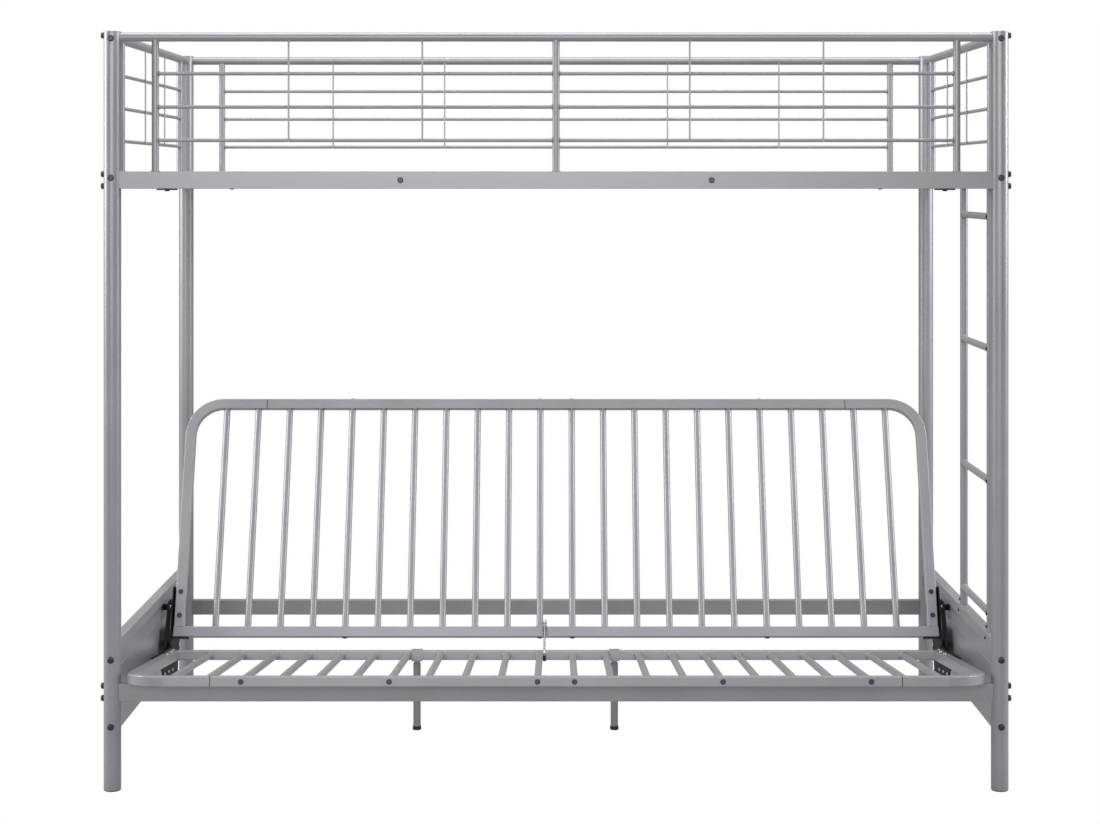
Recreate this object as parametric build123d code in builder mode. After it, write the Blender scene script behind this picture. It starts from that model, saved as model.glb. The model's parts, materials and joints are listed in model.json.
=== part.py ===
"""Tubular steel bunk bed over a fold-out sofa: four posts, a guarded upper deck, a ladder,
two sheet side panels, and a slatted seat and backrest that fold flat on the lower rails.

Millimetres, +Z up, +X along the bed, +Y from the open front to the back.
The origin is on the floor, in the middle of the whole bed.
"""
import os
from math import asin, cos, degrees, hypot, radians, sin, sqrt

from build123d import *

os.makedirs("parts", exist_ok=True)

# Whole bed
half_span = 971.0  # centre of the bed to a post's axis
depth = 950.0  # front post axis to rear post axis
post_height = 1660.0
fit_gap = 0.1  # between pieces that butt or slide together
move_gap = 0.3  # between pieces that come to rest on each other
hole_gap = 0.2  # round a bolt in a plain hole
run_gap = 0.06  # round a pin that turns
overrun = 20.0  # how far a cutter runs past what it cuts

# Posts
post_dia = 38.0
post_wall = 1.2
cap_thick = 3.0
cap_dome = 0.8
foot_rim = 4.0
foot_spigot = 22.0
foot_round = 2.5

# Bolts
bolt_dia = 6.0
bolt_head_dia = 13.0
bolt_head_high = 4.2
bolt_head_round = 1.8
bolt_washer_dia = 14.5
bolt_washer_thick = 1.5
bolt_socket = 5.0  # across the flats
bolt_socket_deep = 2.6
bolt_reach = 20.0  # thread inside the piece that it holds
nut_size = 12.0
nut_thick = 6.0
arm_nut_flats = 10.0
arm_nut_thick = 5.0

# Long box rails
rail_high = 38.0
rail_thick = 20.0
rail_wall = 1.2
upper_rail_drop = 325.0  # post top to the upper rails' middle
lower_rail_z = 215.0
upper_bolt_spread = 26.0
lower_bolt_spread = 27.0
end_rail_bolt_rise = 5.0  # end rail bolt above the rail's middle, clear of the other two
insert_long = 30.0

# Guards round the upper deck
guard_dia = 20.0
guard_wall = 1.5
guard_drop = 12.0  # post top to the top guard rails' middle
guard_bolt_shift = 3.5  # the crossing bolts pass one above the other
upright_dia = 16.0
upright_wall = 1.2
guard_inset = 94.0  # post axis to an outer upright
rod_dia = 8.0
rod_drop = 80.0  # top guard rail to the first rod
rod_pitch = 73.0
rod_count = 3
wire_dia = 4.0
end_upright_inset = 99.0  # post axis to the first end upright

# Upper deck
ledge_leg = 18.0
ledge_thick = 2.0
ledge_inset = 41.0  # post axis to a ledge's end
ledge_drop = 0.0  # ledge top against the middle of the rail
beam_size = 25.0
beam_wall = 1.5
beam_x = 340.0
beam_margin = 3.0  # between a beam and the ledges beside it
deck_slat_dia = 16.0
deck_slat_wall = 0.9
deck_slat_count = 14
deck_slat_inset = 165.0  # post axis to the outer deck slats
clip_long = 42.0
clip_wide = 24.0
clip_thick = 3.0
clip_inset = 120.0
clip_screw_dia = 11.0
clip_screw_high = 2.5

# Ladder, in the plane of the right-hand posts
ladder_dia = 18.0
ladder_wall = 1.5
ladder_width = 318.0
rung_dia = 16.0
rung_wall = 1.2
rung_top_drop = 81.5  # upper rails' middle to the top rung
rung_foot_rise = 41.4  # side panel to the lowest rung
rung_count = 4
screw_dia = 7.0
screw_high = 2.2
screw_lift = 13.0

# Side panels under the ends of the sofa
panel_top_z = 325.0
panel_bottom_z = 120.0
panel_rail_high = 25.0
panel_rail_wide = 24.0
panel_rail_wall = 1.5
sheet = 1.5
panel_flange = 15.0
panel_web_shift = 3.0  # web inside the post axis
panel_bolt_low_z = 142.0
panel_bolt_high_z = 288.0
bead_z = 259.0
bead_high = 5.0
bead_proud = 2.0
bead_margin = 22.0

# Sofa frames: one tube section for the seat and the backrest
frame_inset = 33.2  # post axis to the outer face of a side tube
tube_wide = 25.0  # in the plane of the frame
tube_thick = 22.0
tube_wall = 1.2
tube_round = 2.0
corner_radius = 80.0  # bend on the tube's centre line
seat_depth = 610.0
back_depth = 600.0
slat_dia = 16.0
slat_wall = 0.9
slat_count = 22
slat_inset = 100.95  # outer face of a side tube to the first slat
seat_joint_inset = 194.8  # outer face of a side tube to the end of the straight rail
back_joint_inset = 203.8
joint_gap = 2.0
spigot_long = 110.0
seat_overhang = 101.0  # seat front past the rocking edge of the front rail
seat_tilt = 6.9
back_tilt = 20.7  # from upright
hinge_drop = 8.5  # hinge axis below both top faces
seat_hinge_gap = 44.0  # rear face of the seat to the hinge axis
back_hinge_gap = 35.3  # lower edge of the backrest to the hinge axis
seat_bolt_slats = (0, 4, 8)  # slats, counted from the middle, whose ends are bolted
back_bolt_slats = (0, 6)
rail_bolt_head_dia = 12.0
rail_bolt_head_high = 2.4

# Hinge arms, links and fixed brackets, in layers outward from the side tubes
arm_thick = 3.0
layer_gap = 1.0
seat_arm_gap = 0.2
arm_lip = 3.0  # the web stands this far above the tube
arm_bolt_low = 40.0  # rail centre line to the nearer arm bolt
arm_bolt_high = 97.5
seat_arm_long = 205.0
back_arm_long = 112.0
arm_flange_wide = 24.0
back_arm_toe = 36.0  # reach under the backrest's lower rail
seat_arm_lip_deep = 24.0  # turned down under the side tube
rivet_dia = 8.0
rivet_high = 2.0
rivet_places = (32.0, 84.0, 136.0)  # behind the front end of the lip
arm_end_radius = 15.0
hinge_pin_dia = 10.0
hinge_pin_head_dia = 16.0
hinge_pin_head = 3.0
link_length = 150.0
link_wide = 24.0
link_play = 5.2  # round the hinge pin, where the closed loop is opened
link_eye_wall = 5.0
link_pin_dia = 10.0
link_pin_head_dia = 16.0
link_pin_head = 3.0
bracket_low_z = 152.0
bracket_front = 64.0  # low front corner, ahead of the hinge axis
bracket_top_lift = 15.0  # above the link's fixed pivot
bracket_tail = 20.0  # behind the link's fixed pivot
bracket_upright_drop = 1.0  # top of the upright below the side panel's
bracket_upright_wide = 54.0
bracket_upright_lean = 77.0  # over the bracket's whole height
bracket_boss_dia = 15.0
bracket_bolt_head_dia = 11.0
bracket_bolt_head = 2.6
bracket_bolt_inset = 15.0

# Legs under the seat's rear rail
leg_dia = 18.0
leg_wall = 1.5
leg_places = (-336.5, 141.0)
leg_lift = 6.0  # clear of the floor, so that the posts carry the bed
leg_foot_high = 9.0
leg_foot_wall = 1.2
saddle_thick = 2.5
saddle_wide = 25.0
saddle_stub = 6.0

# Safety hook between the backrest and the seat
hook_x = -28.0
hook_dia = 5.0
hook_eye_lift = 9.0  # eye above the top of the backrest's lower rail
hook_eye_proud = 9.0  # eye ahead of the backrest's front face
hook_eye_wall = 3.0
hook_eye_thick = 6.0
hook_pin_dia = 5.0
hook_ear_thick = 2.0
hook_ear_wide = 12.0
hook_foot_half = 14.0  # half the spread of the bracket's feet
hook_rest = 1.2  # over the corner of the seat's rear rail
hook_past = 9.0  # bend ahead of the seat's rear rail
hook_drop = 20.0
hook_bend = 7.0
hook_tip_long = 13.0
hook_tip_wall = 1.2

# Places worked out from the sizes
post_r = post_dia / 2
guard_z = post_height - guard_drop
upper_rail_z = post_height - upper_rail_drop
rod_top_z = guard_z - rod_drop
rung_top_z = upper_rail_z - rung_top_drop
rung_pitch = (rung_top_z - panel_top_z - rung_foot_rise) / (rung_count - 1)
guard_half = half_span - guard_inset
ledge_long = 2 * (half_span - ledge_inset)
deck_slat_pitch = 2 * (half_span - deck_slat_inset) / (deck_slat_count - 1)
clip_x = half_span - clip_inset
frame_half = half_span - frame_inset
slat_pitch = 2 * (frame_half - slat_inset) / (slat_count - 1)
seat_joint_x = frame_half - seat_joint_inset
back_joint_x = frame_half - back_joint_inset
bolt_reach_out = bolt_washer_thick + bolt_head_high
rail_top = rail_high / 2
rock_edge = rail_thick / 2
tilt_sin = sin(radians(seat_tilt))
tilt_cos = cos(radians(seat_tilt))
lean_sin = sin(radians(back_tilt))
lean_cos = cos(radians(back_tilt))
seat_base = move_gap
seat_mid = seat_base + tube_thick / 2
seat_top = seat_base + tube_thick
front_reach = (
    seat_overhang * tilt_cos - rock_edge - seat_base * tilt_sin + rail_bolt_head_high * tilt_cos
)
rear_reach = depth + post_r + bolt_reach_out
front_y = (front_reach - rear_reach) / 2
rear_y = front_y + depth
rail_y = {"front": front_y, "rear": rear_y}


def box_tube(plane, wide, high, wall, long, rounding=0):
    """Add a rectangular tube that runs along the plane's normal."""
    with BuildSketch(plane) as section:
        Rectangle(wide, high)
        if rounding:
            fillet(section.vertices(), rounding)
        Rectangle(wide - 2 * wall, high - 2 * wall, mode=Mode.SUBTRACT)
    extrude(section.sketch, amount=long / 2, both=True)


def round_tubes(plane, dia, wall, long, places=((0, 0),)):
    """Add round tubes that run along the plane's normal from the plane."""
    with BuildSketch(plane) as section:
        with Locations(*places):
            Circle(dia / 2)
        with Locations(*places):
            Circle(dia / 2 - wall, mode=Mode.SUBTRACT)
    extrude(section.sketch, amount=long)


def round_bars(plane, dia, long, places=((0, 0),), mode=Mode.ADD):
    """Add or cut round bars that run along the plane's normal from the plane."""
    with BuildSketch(plane) as section:
        with Locations(*places):
            Circle(dia / 2)
    extrude(section.sketch, amount=long, mode=mode)


def cross_plane(x, y, z):
    """Plane whose normal runs along the bed."""
    return Plane(origin=(x, y, z), x_dir=(0, 1, 0), z_dir=(1, 0, 0))


def depth_plane(x, y, z):
    """Plane whose normal runs from front to back."""
    return Plane(origin=(x, y, z), x_dir=(-1, 0, 0), z_dir=(0, 1, 0))


def side_plane(frame, x):
    """Plane across a tilted frame: its X runs along the frame, its Y out of the top face."""
    return Plane(origin=frame.from_local_coords((x, 0, 0)), x_dir=frame.y_dir, z_dir=(1, 0, 0))


def save(piece, name):
    """Label a finished piece and write it."""
    piece.label = name
    export_step(piece, f"parts/{name}.step")


def make_bolt(long, head_dia=bolt_head_dia, head_high=bolt_head_high, washer=bolt_washer_thick):
    """A socket bolt whose washer sits on Z = 0 and whose shank runs down."""
    with BuildPart() as bolt:
        if washer:
            with BuildSketch(Plane.XY):
                Circle(bolt_washer_dia / 2)
            extrude(amount=washer)
        with BuildSketch(Plane.XY.offset(washer)):
            Circle(head_dia / 2)
        extrude(amount=head_high)
        rim = bolt.edges().filter_by(GeomType.CIRCLE).sort_by(Axis.Z)[-1]
        fillet(rim, min(bolt_head_round, head_high / 2))
        with BuildSketch(Plane.XY.offset(washer + head_high)):
            RegularPolygon(bolt_socket / sqrt(3), 6)
        extrude(amount=-min(bolt_socket_deep, head_high / 2), mode=Mode.SUBTRACT)
        round_bars(Plane.XY, bolt_dia, -long)
    return bolt.part


def place_copies(part, planes):
    """Add a copy of a part on each plane."""
    for plane in planes:
        add(plane.location * part)


# Posts with their bolt holes, caps and feet
rail_bolt_heights = [
    guard_z + guard_bolt_shift,
    upper_rail_z + upper_bolt_spread / 2,
    upper_rail_z - upper_bolt_spread / 2,
    lower_rail_z + lower_bolt_spread / 2,
    lower_rail_z - lower_bolt_spread / 2,
]
end_bolt_heights = [
    guard_z - guard_bolt_shift,
    upper_rail_z + end_rail_bolt_rise,
    panel_bolt_high_z,
    panel_bolt_low_z,
]
hole_dia = bolt_dia + 2 * hole_gap
for row in ("front", "rear"):
    for side, word in ((-1, "left"), (1, "right")):
        with BuildPart() as post:
            base = Plane.XY.offset(foot_rim)
            place = (side * half_span, rail_y[row])
            round_tubes(base, post_dia, post_wall, post_height - foot_rim, (place,))
            x_plane = cross_plane(side * half_span - post_dia, rail_y[row], 0)
            x_holes = [(0, z) for z in rail_bolt_heights]
            round_bars(x_plane, hole_dia, 2 * post_dia, x_holes, Mode.SUBTRACT)
            y_plane = depth_plane(side * half_span, rail_y[row] - post_dia, 0)
            y_holes = [(0, z) for z in end_bolt_heights]
            round_bars(y_plane, hole_dia, 2 * post_dia, y_holes, Mode.SUBTRACT)
        save(post.part, f"post_{row}_{word}")

post_places = [(side * half_span, y) for y in (front_y, rear_y) for side in (-1, 1)]
post_bore = post_dia - 2 * post_wall - 2 * fit_gap
with BuildPart() as post_caps:
    cap_plane = Plane.XY.offset(post_height - cap_thick)
    round_bars(cap_plane, post_bore, cap_thick + cap_dome, post_places)
    fillet(post_caps.edges().filter_by(GeomType.CIRCLE).group_by(Axis.Z)[-1], cap_dome)
save(post_caps.part, "post_caps")

with BuildPart() as post_feet:
    round_bars(Plane.XY, post_dia, foot_rim, post_places)
    fillet(post_feet.edges().filter_by(GeomType.CIRCLE).group_by(Axis.Z)[0], foot_round)
    round_bars(Plane.XY.offset(foot_rim), post_bore, foot_spigot, post_places)
save(post_feet.part, "post_feet")


def cut_posts(low_z, high_z):
    """Cope whatever is being built round the four posts."""
    with BuildSketch(Plane.XY.offset(low_z)) as section:
        with Locations(*post_places):
            Circle(post_r + fit_gap)
    extrude(section.sketch, amount=high_z - low_z, mode=Mode.SUBTRACT)


# Long box rails between the posts
for level, z in (("upper", upper_rail_z), ("lower", lower_rail_z)):
    for row in ("front", "rear"):
        with BuildPart() as side_rail:
            plane = cross_plane(0, rail_y[row], z)
            box_tube(plane, rail_thick, rail_high, rail_wall, 2 * half_span, tube_round / 2)
            cut_posts(z - rail_high, z + rail_high)
            if level == "upper":
                beam_holes = [(-beam_x, z), (beam_x, z)]
                y_plane = depth_plane(0, rail_y[row] - rail_thick, 0)
                round_bars(y_plane, hole_dia, 2 * rail_thick, beam_holes, Mode.SUBTRACT)
        save(side_rail.part, f"{row}_{level}_side_rail")

# Guards along the front and the back
rod_heights = [rod_top_z - i * rod_pitch for i in range(rod_count)]
rail_top_z = upper_rail_z + rail_top
wire_offset = rod_dia / 2 + wire_dia / 2 + fit_gap
guard_uprights = (-guard_half, 0, guard_half)
upright_places = [(x, y) for x in guard_uprights for y in (front_y, rear_y)]


def cut_guard_rails(far, rows, ends):
    """Cope whatever is being built round the top guard rails."""
    for y in rows:
        cope_plane = cross_plane(-half_span, y, guard_z)
        round_bars(cope_plane, far, 2 * half_span, mode=Mode.SUBTRACT)
    for side in ends:
        cope_plane = depth_plane(side * half_span, front_y, guard_z)
        round_bars(cope_plane, far, depth, mode=Mode.SUBTRACT)


guard_cope_dia = guard_dia + 2 * fit_gap
with BuildPart() as guard_rails:
    for y in (front_y, rear_y):
        round_tubes(cross_plane(-half_span, y, guard_z), guard_dia, guard_wall, 2 * half_span)
    cut_posts(guard_z - guard_dia, guard_z + guard_dia)
save(guard_rails.part, "guard_top_rails")

with BuildPart() as uprights:
    upright_plane = Plane.XY.offset(rail_top_z)
    upright_rise = guard_z - rail_top_z
    round_tubes(upright_plane, upright_dia, upright_wall, upright_rise, upright_places)
    cut_guard_rails(guard_cope_dia, (front_y, rear_y), ())
save(uprights.part, "guard_uprights")

rod_places = [(0, z) for z in rod_heights]
with BuildPart() as rods:
    for y in (front_y, rear_y):
        round_bars(cross_plane(-guard_half, y, 0), rod_dia, 2 * guard_half, rod_places)
    cope_dia = upright_dia + 2 * fit_gap
    round_bars(upright_plane, cope_dia, upright_rise, upright_places, Mode.SUBTRACT)
save(rods.part, "guard_rods")

wire_share = 1 / 3
wire_foot_z = rod_heights[-1] - rod_dia / 2
wire_x = [side * guard_half * wire_share * step for side in (-1, 1) for step in (1, 2)]
with BuildPart() as guard_wires:
    wire_places = [(x, y - wire_offset) for y in (front_y, rear_y) for x in wire_x]
    round_bars(Plane.XY.offset(wire_foot_z), wire_dia, guard_z - wire_foot_z, wire_places)
    cut_guard_rails(guard_cope_dia, (front_y, rear_y), ())
save(guard_wires.part, "guard_wires")

# Guards and rails across the two ends
end_y = [front_y + end_upright_inset, rear_y - end_upright_inset]
end_gap = end_y[1] - end_y[0]
end_places = [(side * half_span, y) for side in (-1, 1) for y in end_y]
with BuildPart() as end_guard_rails:
    for side in (-1, 1):
        plane = depth_plane(side * half_span, front_y, guard_z)
        round_tubes(plane, guard_dia, guard_wall, depth)
    cut_posts(guard_z - guard_dia, guard_z + guard_dia)
save(end_guard_rails.part, "end_guard_top_rails")

with BuildPart() as end_rails:
    for side in (-1, 1):
        plane = depth_plane(side * half_span, (front_y + rear_y) / 2, upper_rail_z)
        box_tube(plane, rail_thick, rail_high, rail_wall, depth, tube_round / 2)
    cut_posts(upper_rail_z - rail_high, upper_rail_z + rail_high)
save(end_rails.part, "end_upper_rails")

with BuildPart() as end_uprights:
    round_tubes(upright_plane, upright_dia, upright_wall, upright_rise, end_places)
    cut_guard_rails(guard_cope_dia, (), (-1, 1))
save(end_uprights.part, "end_guard_uprights")

with BuildPart() as end_rods:
    for side in (-1, 1):
        round_bars(depth_plane(side * half_span, end_y[0], 0), rod_dia, end_gap, rod_places)
    round_bars(upright_plane, cope_dia, upright_rise, end_places, Mode.SUBTRACT)
save(end_rods.part, "end_guard_rods")

with BuildPart() as end_wires:
    wire_y = [end_y[0] + end_gap * wire_share * step for step in (1, 2)]
    wire_places = [(side * (half_span - wire_offset), y) for side in (-1, 1) for y in wire_y]
    round_bars(Plane.XY.offset(wire_foot_z), wire_dia, guard_z - wire_foot_z, wire_places)
    cut_guard_rails(guard_cope_dia, (), (-1, 1))
save(end_wires.part, "end_guard_wires")

# Upper deck: ledges on the rails, two bolted beams, slats and clips
ledge_top = upper_rail_z - ledge_drop
beam_clear = beam_size / 2 + beam_margin
inner_y = (front_y + rail_thick / 2, rear_y - rail_thick / 2)
with BuildPart() as deck_ledges:
    for y, inward in ((inner_y[0], 1), (inner_y[1], -1)):
        with BuildSketch(cross_plane(-ledge_long / 2, y, ledge_top)):
            with BuildLine():
                Polyline(
                    (0, 0),
                    (inward * ledge_leg, 0),
                    (inward * ledge_leg, -ledge_thick),
                    (inward * ledge_thick, -ledge_thick),
                    (inward * ledge_thick, -ledge_leg),
                    (0, -ledge_leg),
                    close=True,
                )
            make_face()
        extrude(amount=ledge_long)
    for x in (-beam_x, beam_x):
        with BuildSketch(Plane.XY.offset(ledge_top - ledge_leg - overrun)):
            with Locations((x, (front_y + rear_y) / 2)):
                Rectangle(2 * beam_clear, depth)
        extrude(amount=ledge_leg + 2 * overrun, mode=Mode.SUBTRACT)
save(deck_ledges.part, "deck_ledges")

deck_span = inner_y[1] - inner_y[0] - 2 * fit_gap
mid_y = (front_y + rear_y) / 2
with BuildPart() as deck_beams:
    for x in (-beam_x, beam_x):
        plane = depth_plane(x, mid_y, upper_rail_z)
        box_tube(plane, beam_size, beam_size, beam_wall, deck_span, tube_round / 2)
save(deck_beams.part, "deck_beams")

with BuildPart() as deck_slats:
    with BuildSketch(depth_plane(0, mid_y - deck_span / 2, ledge_top + deck_slat_dia / 2)):
        with GridLocations(deck_slat_pitch, 0, deck_slat_count, 1):
            Circle(deck_slat_dia / 2)
        with GridLocations(deck_slat_pitch, 0, deck_slat_count, 1):
            Circle(deck_slat_dia / 2 - deck_slat_wall, mode=Mode.SUBTRACT)
    extrude(amount=deck_span)
save(deck_slats.part, "deck_slats")

rail_foot_z = upper_rail_z - rail_top
clip_places = [(side * clip_x, y) for side in (-1, 1) for y in (front_y, rear_y)]
with BuildPart() as deck_clips:
    with BuildSketch(Plane.XY.offset(rail_foot_z)):
        with Locations(*clip_places):
            Rectangle(clip_long, clip_wide)
    extrude(amount=-clip_thick)
    clip_face = Plane.XY.offset(rail_foot_z - clip_thick)
    round_bars(clip_face, clip_screw_dia, -clip_screw_high, clip_places)
    rims = deck_clips.edges().filter_by(GeomType.CIRCLE).group_by(Axis.Z)[0]
    fillet(rims, clip_screw_high / 2)
save(deck_clips.part, "deck_clips")

# Ladder between the right-hand side panel and the deck
ladder_y = [front_y + end_upright_inset, front_y + end_upright_inset + ladder_width]
ladder_places = [(half_span, y) for y in ladder_y]
with BuildPart() as ladder_uprights:
    ladder_rise = rail_foot_z - panel_top_z
    ladder_plane = Plane.XY.offset(panel_top_z)
    round_tubes(ladder_plane, ladder_dia, ladder_wall, ladder_rise, ladder_places)
save(ladder_uprights.part, "ladder_uprights")

rung_heights = [rung_top_z - i * rung_pitch for i in range(rung_count)]
with BuildPart() as ladder_rungs:
    rung_plane = depth_plane(half_span, ladder_y[0], 0)
    rung_places = [(0, z) for z in rung_heights]
    round_tubes(rung_plane, rung_dia, rung_wall, ladder_width, rung_places)
    cope_dia = ladder_dia + 2 * fit_gap
    round_bars(ladder_plane, cope_dia, ladder_rise, ladder_places, Mode.SUBTRACT)
save(ladder_rungs.part, "ladder_rungs")

panel_rail_inner = half_span - panel_rail_wide / 2
panel_rail_z = panel_top_z - panel_rail_high / 2
with BuildPart() as ladder_screws:
    for y in ladder_y:
        for x, z in (
            (panel_rail_inner, panel_rail_z),
            (half_span - ladder_dia / 2, panel_top_z + screw_lift),
        ):
            round_bars(cross_plane(x, y, z), screw_dia, -screw_high)
    for z in rung_heights:
        inner_face = half_span - ladder_dia / 2
        round_bars(cross_plane(inner_face, ladder_y[0], z), screw_dia, -screw_high)
    tips = ladder_screws.edges().filter_by(GeomType.CIRCLE)
    fillet(tips.filter_by_position(Axis.X, 0, panel_rail_inner - screw_high / 2), screw_high / 2)
save(ladder_screws.part, "ladder_screws")

# Side panels: a box rail on a folded sheet
panel_front_y = front_y + post_r + fit_gap
panel_rear_y = rear_y - post_r - fit_gap
panel_long = panel_rear_y - panel_front_y
web_in = half_span - panel_web_shift - sheet / 2
sheet_top = panel_top_z - panel_rail_high
sheet_high = sheet_top - panel_bottom_z
with BuildPart() as panel_rails:
    for side in (-1, 1):
        plane = depth_plane(side * half_span, mid_y, panel_rail_z)
        wide = panel_rail_wide
        box_tube(plane, wide, panel_rail_high, panel_rail_wall, depth, tube_round / 2)
    cut_posts(panel_rail_z - panel_rail_high, panel_rail_z + panel_rail_high)
save(panel_rails.part, "side_panel_rails")

for side, word in ((-1, "left"), (1, "right")):
    with BuildPart() as panel:
        with BuildSketch(Plane.XY.offset(panel_bottom_z)):
            with Locations((side * (web_in + sheet / 2), mid_y)):
                Rectangle(sheet, panel_long)
            for y in (panel_front_y + sheet / 2, panel_rear_y - sheet / 2):
                with Locations((side * (web_in + panel_flange / 2), y)):
                    Rectangle(panel_flange, sheet)
        extrude(amount=sheet_high)
        with BuildSketch(Plane.XY.offset(panel_bottom_z)):
            with Locations((side * (web_in + panel_flange / 2), mid_y)):
                Rectangle(panel_flange, panel_long)
        extrude(amount=sheet)
        bead_y = panel_front_y + bead_margin
        with BuildSketch(depth_plane(side * web_in, bead_y, bead_z)):
            with BuildLine():
                inward = side * bead_proud
                ThreePointArc((0, -bead_high / 2), (inward, 0), (0, bead_high / 2))
                Line((0, bead_high / 2), (0, -bead_high / 2))
            make_face()
        extrude(amount=panel_long - 2 * bead_margin)
        bolt_holes = [(0, z) for z in (panel_bolt_low_z, panel_bolt_high_z)]
        y_plane = depth_plane(side * half_span, front_y, 0)
        round_bars(y_plane, hole_dia, depth, bolt_holes, Mode.SUBTRACT)
    save(panel.part, f"{word}_side_panel")

# Threaded inserts in the rail ends and nuts behind the panel flanges
x_insert = half_span - post_r - fit_gap - insert_long
thread_dia = bolt_dia + 2 * fit_gap
box_insert = (rail_thick - 2 * rail_wall - 2 * fit_gap, rail_high - 2 * rail_wall - 2 * fit_gap)
round_insert = guard_dia - 2 * guard_wall - 2 * fit_gap
with BuildPart() as inserts:
    for side in (-1, 1):
        for y in (front_y, rear_y):
            for z in (upper_rail_z, lower_rail_z):
                with BuildSketch(cross_plane(side * x_insert, y, z)):
                    Rectangle(*box_insert)
                extrude(amount=side * insert_long)
            plane = cross_plane(side * x_insert, y, guard_z)
            round_bars(plane, round_insert, side * insert_long)
        for y, inward in ((front_y, 1), (rear_y, -1)):
            y_insert = y + inward * (post_r + fit_gap)
            with BuildSketch(depth_plane(side * half_span, y_insert, upper_rail_z)):
                Rectangle(*box_insert)
            extrude(amount=inward * insert_long)
            plane = depth_plane(side * half_span, y_insert, guard_z)
            round_bars(plane, round_insert, inward * insert_long)
            for z in (panel_bolt_low_z, panel_bolt_high_z):
                nut_y = y_insert + inward * sheet
                with BuildSketch(depth_plane(side * half_span, nut_y, z)):
                    with Locations((-side * (nut_size / 2 - panel_web_shift + sheet), 0)):
                        Rectangle(nut_size, nut_size)
                extrude(amount=inward * nut_thick)
    for y in (front_y, rear_y):
        x_threads = [(0, z) for z in rail_bolt_heights]
        x_plane = cross_plane(-half_span, y, 0)
        round_bars(x_plane, thread_dia, 2 * half_span, x_threads, Mode.SUBTRACT)
    for side in (-1, 1):
        y_threads = [(0, z) for z in end_bolt_heights]
        y_plane = depth_plane(side * half_span, front_y, 0)
        round_bars(y_plane, thread_dia, depth, y_threads, Mode.SUBTRACT)
save(inserts.part, "threaded_inserts")

# Bolts through the posts, along the bed and across it
post_bolt = make_bolt(post_dia + bolt_reach)
with BuildPart() as rail_bolts:
    for side in (-1, 1):
        for y in (front_y, rear_y):
            for z in rail_bolt_heights:
                origin = (side * (half_span + post_r), y, z)
                seat = Plane(origin=origin, x_dir=(0, 1, 0), z_dir=(side, 0, 0))
                place_copies(post_bolt, [seat])
save(rail_bolts.part, "rail_bolts")

panel_bolt = make_bolt(post_dia + sheet + nut_thick)
with BuildPart() as end_bolts:
    for side in (-1, 1):
        for y, outward in ((front_y, -1), (rear_y, 1)):
            for z in end_bolt_heights:
                bolt = panel_bolt if z < upper_rail_z else post_bolt
                origin = (side * half_span, y + outward * post_r, z)
                seat = Plane(origin=origin, x_dir=(1, 0, 0), z_dir=(0, outward, 0))
                place_copies(bolt, [seat])
save(end_bolts.part, "end_bolts")

beam_bolt = make_bolt(rail_thick + beam_wall + fit_gap, washer=0)
with BuildPart() as beam_bolts:
    for x in (-beam_x, beam_x):
        for y, outward in ((front_y, -1), (rear_y, 1)):
            origin = (x, y + outward * rail_thick / 2, upper_rail_z)
            seat = Plane(origin=origin, x_dir=(1, 0, 0), z_dir=(0, outward, 0))
            place_copies(beam_bolt, [seat])
save(beam_bolts.part, "deck_beam_bolts")

# Frames of the seat and the backrest, in the sofa position
rock_y = front_y + rock_edge
rock_z = lower_rail_z + rail_top
seat_frame = Plane(origin=(0, rock_y, rock_z), x_dir=(1, 0, 0), z_dir=(0, tilt_sin, tilt_cos))
seat_front = -seat_overhang
seat_rear = seat_front + seat_depth
hinge_along = seat_rear + seat_hinge_gap
hinge_up = seat_top - hinge_drop
hinge = seat_frame.from_local_coords((0, hinge_along, hinge_up))
back_low = back_hinge_gap + tube_wide / 2  # hinge axis to the lower rail's centre line
back_up = tube_thick / 2 - hinge_drop
back_y = hinge.Y + back_low * lean_sin + back_up * lean_cos
back_z = hinge.Z + back_low * lean_cos - back_up * lean_sin
back_frame = Plane(origin=(0, back_y, back_z), x_dir=(1, 0, 0), z_dir=(0, -lean_cos, lean_sin))
back_top = back_depth - tube_wide  # upper rail's centre line above the lower one's


def bent_corner(frame, mid, low, high, joint_x, side):
    """Add a side tube that bends into the front or top rail, at one side of a frame."""
    side_x = side * (frame_half - tube_wide / 2)
    bend_x = side_x - side * corner_radius
    turn = 1 if high > low else -1
    bend_y = high - turn * corner_radius
    path_plane = frame.offset(mid)
    with BuildLine(path_plane) as path:
        Line((side_x, low), (side_x, bend_y))
        RadiusArc((side_x, bend_y), (bend_x, high), side * turn * -corner_radius)
        Line((bend_x, high), (side * (joint_x + joint_gap), high))
    start = Plane(
        origin=path_plane.from_local_coords((side_x, low, 0)),
        x_dir=frame.x_dir,
        z_dir=turn * frame.y_dir,
    )
    with BuildSketch(start) as section:
        Rectangle(tube_wide, tube_thick)
        fillet(section.vertices(), tube_round)
        inner = (tube_wide - 2 * tube_wall, tube_thick - 2 * tube_wall)
        Rectangle(*inner, mode=Mode.SUBTRACT)
    sweep(sections=section.sketch, path=path.wire())


def frame_rail(frame, mid, along, long):
    """Add a straight rail of a frame, across the bed."""
    plane = Plane(
        origin=frame.from_local_coords((0, along, mid)), x_dir=frame.y_dir, z_dir=(1, 0, 0)
    )
    box_tube(plane, tube_wide, tube_thick, tube_wall, long, tube_round)


def frame_slats(frame, mid, low, high):
    """Add the row of round slats between two rails."""
    plane = Plane(
        origin=frame.from_local_coords((0, low, mid)), x_dir=frame.x_dir, z_dir=frame.y_dir
    )
    with BuildSketch(plane) as section:
        with GridLocations(slat_pitch, 0, slat_count, 1):
            Circle(slat_dia / 2)
        with GridLocations(slat_pitch, 0, slat_count, 1):
            Circle(slat_dia / 2 - slat_wall, mode=Mode.SUBTRACT)
    extrude(section.sketch, amount=high - low)


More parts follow.
